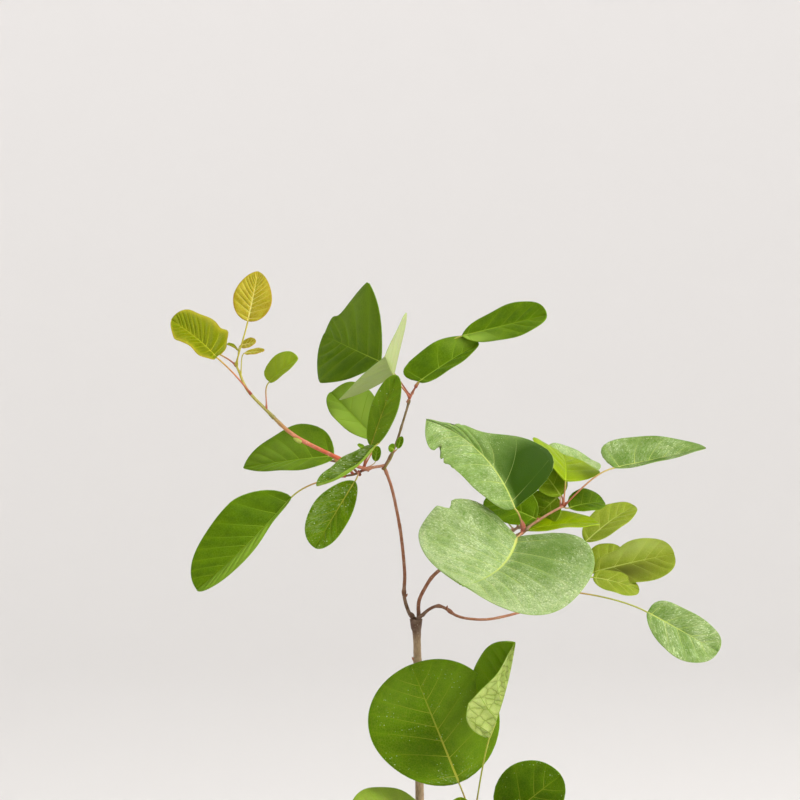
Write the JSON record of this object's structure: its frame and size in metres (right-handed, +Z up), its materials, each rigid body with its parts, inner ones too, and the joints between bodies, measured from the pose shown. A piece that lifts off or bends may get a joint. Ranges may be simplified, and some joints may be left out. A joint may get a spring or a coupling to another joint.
{
  "type": "potted smoke bush",
  "caption": "Young smoke bush with a slim upright stem, forked boughs and broad oval leaves, growing in a plain clay pot.",
  "frame": {"origin": "centre of the pot's flat underside, on the surface that the plant stands on", "axes": "+Z up along the stem, +X to the right in the front view, +Y away from the viewer"},
  "size_m": [0.2714, 0.164, 0.4816],
  "materials": {
    "clay": "matte unglazed",
    "soil": "matte",
    "bark": "satin bark",
    "leaf": "satin leaf",
    "young_leaf": "satin leaf"
  },
  "bodies": {
    "root": {"pot": "clay", "potting_soil": "soil", "trunk": "bark", "bough_left": "bark", "bough_left_fork": "bark", "bough_right": "bark", "bough_low_right": "bark", "bough_top": "bark", "bough_gold": "bark", "bough_foot": "bark", "leaves_gold_tip": "young_leaf", "leaves_left": "leaf", "leaves_top": "leaf", "leaves_top_small": "leaf", "leaves_right": "leaf", "leaves_low_right": "leaf", "leaves_middle_back": "leaf", "leaves_foot_right": "leaf", "leaves_foot_left": "leaf", "leaves_foot_back": "leaf"}
  },
  "joints": []
}
